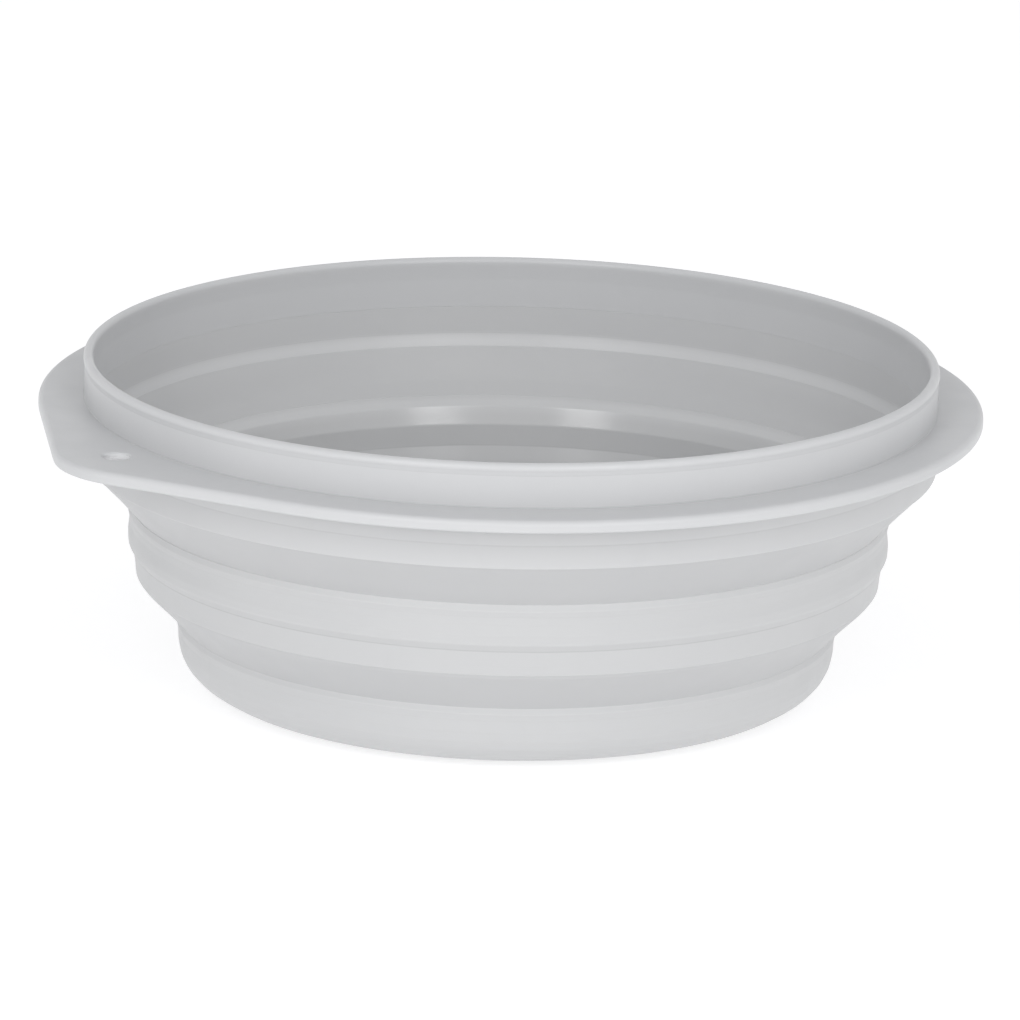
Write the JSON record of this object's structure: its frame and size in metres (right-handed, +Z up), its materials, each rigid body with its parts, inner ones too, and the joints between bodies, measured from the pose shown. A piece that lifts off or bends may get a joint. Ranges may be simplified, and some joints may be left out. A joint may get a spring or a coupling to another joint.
{
  "type": "collapsible foot bath basin",
  "caption": "Round collapsible foot bath basin: hard rim with flange and hanging tab, stiff ring walls joined by fold webs, and a hard floor.",
  "frame": {"origin": "centre of the underside, on the basin's axis, at the surface it stands on", "axes": "+Z up along the basin's axis; -X points to the hanging tab"},
  "size_m": [0.4627, 0.4418, 0.1575],
  "materials": {
    "rim_plastic": "satin moulded polypropylene, light grey",
    "soft_wall": "satin thermoplastic elastomer, light grey",
    "soft_fold": "satin thermoplastic elastomer, thin and flexible, light grey",
    "floor_plastic": "smooth moulded polypropylene, light grey"
  },
  "bodies": {
    "base": {"lower_wall": "soft_wall", "base_panel": "floor_plastic", "lower_fold": "soft_fold"},
    "middle": {"middle_wall": "soft_wall", "upper_fold": "soft_fold"},
    "rim": {"rim_frame": "rim_plastic", "upper_wall": "soft_wall"}
  },
  "joints": [
    {"name": "lower_collapse", "type": "slide", "parent": "base", "child": "middle", "axis": [0, 0, 1], "range_m": [-0.0438, 0], "deforming": ["lower_fold"]},
    {"name": "upper_collapse", "type": "slide", "parent": "middle", "child": "rim", "axis": [0, 0, 1], "range_m": [-0.0474, 0], "deforming": ["upper_fold"]}
  ]
}
